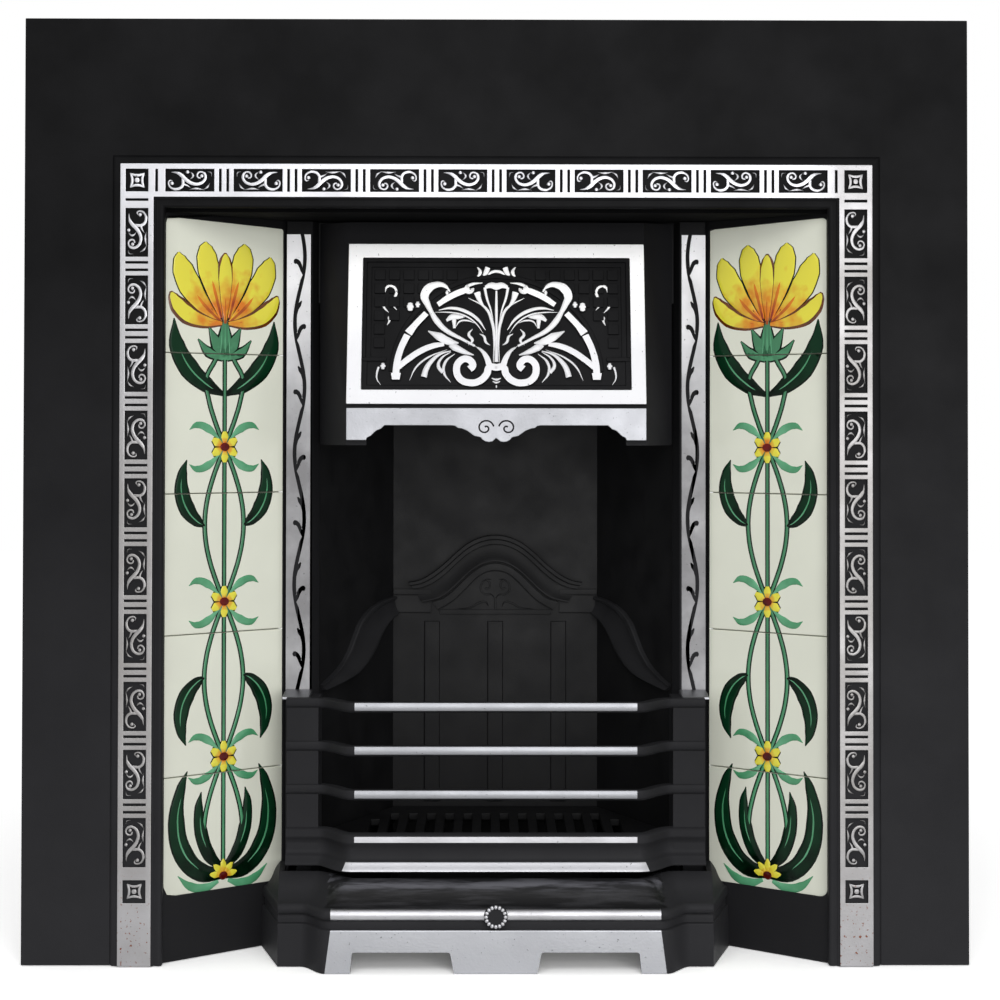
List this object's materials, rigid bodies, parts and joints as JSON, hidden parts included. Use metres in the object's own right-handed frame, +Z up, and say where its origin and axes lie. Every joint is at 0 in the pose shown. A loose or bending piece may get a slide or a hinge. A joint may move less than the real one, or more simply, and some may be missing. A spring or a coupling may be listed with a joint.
{
  "type": "tiled cast iron fireplace insert",
  "caption": "Square cast iron fireplace insert with a moulded border, splayed glazed tile columns, canopy hood, fire bars, grate, damper and a draw-out ash cover with its pan.",
  "frame": {"origin": "centre of the fireplace's width and depth, on the hearth", "axes": "+X across the fireplace to the viewer's right, +Y back into the wall, +Z up"},
  "size_m": [1.016, 0.323, 1.016],
  "materials": {
    "black_iron": "black graphite polish over a fine sand-cast skin",
    "polished_iron": "ground and buffed bright, with black left in the sunk ground",
    "tile": "cream gloss glaze with a raised-line floral design",
    "backing_board": "matt heat-proof board",
    "steel": "dull zinc plated or blued steel"
  },
  "bodies": {
    "surround": {"front_frame": "black_iron", "soffit_panel": "black_iron", "side_panel_left": "black_iron", "side_panel_right": "black_iron", "inner_frame": "black_iron", "tile_left_1": "tile", "tile_left_2": "tile", "tile_left_3": "tile", "tile_left_4": "tile", "tile_left_5": "tile", "tile_right_1": "tile", "tile_right_2": "tile", "tile_right_3": "tile", "tile_right_4": "tile", "tile_right_5": "tile", "tile_backing_left": "backing_board", "tile_backing_right": "backing_board", "tile_clamps_left": "steel", "tile_clamps_right": "steel", "tile_clamp_screws": "steel", "hood_shell": "black_iron", "hood_panel": "polished_iron", "hood_valance": "polished_iron", "hood_bolts": "steel", "fireback": "black_iron", "cheek_left": "black_iron", "cheek_right": "black_iron", "firebox_bolts": "steel", "throat_plate": "black_iron", "damper_pin": "steel", "fixing_lugs_left": "steel", "fixing_lugs_right": "steel", "lug_bolts": "steel", "frame_bolts": "steel"},
    "damper": {"damper_flap": "black_iron"},
    "fire_front": {"fire_front": "black_iron"},
    "grate": {"bottom_grate": "black_iron"},
    "ash_cover": {"ash_cover": "black_iron", "draw_knob": "polished_iron"},
    "ash_pan": {"ash_pan": "steel"},
    "pan_handle": {"ash_pan_handle": "steel"}
  },
  "joints": [
    {"name": "damper_hinge", "type": "hinge", "parent": "surround", "child": "damper", "pos_m": [0, 0.12054, 0.7343], "axis": [-1, 0, 0], "range_deg": [0, 65]},
    {"name": "fire_front_lift", "type": "slide", "parent": "surround", "child": "fire_front", "axis": [0, 0, 1], "range_m": [0, 0.06]},
    {"name": "grate_lift", "type": "slide", "parent": "surround", "child": "grate", "axis": [0, 0, 1], "range_m": [0, 0.1]},
    {"name": "ash_cover_draw", "type": "slide", "parent": "surround", "child": "ash_cover", "axis": [0, -1, 0], "range_m": [0, 0.3]},
    {"name": "ash_pan_draw", "type": "slide", "parent": "surround", "child": "ash_pan", "axis": [0, -1, 0], "range_m": [0, 0.27]},
    {"name": "pan_handle_swing", "type": "hinge", "parent": "ash_pan", "child": "pan_handle", "pos_m": [0, -0.06048, 0.045], "axis": [-1, 0, 0], "range_deg": [0, 90]}
  ],
  "couplings": [
    {"joint": "ash_pan_draw", "follows": "ash_cover_draw", "ratio": 0.9}
  ]
}
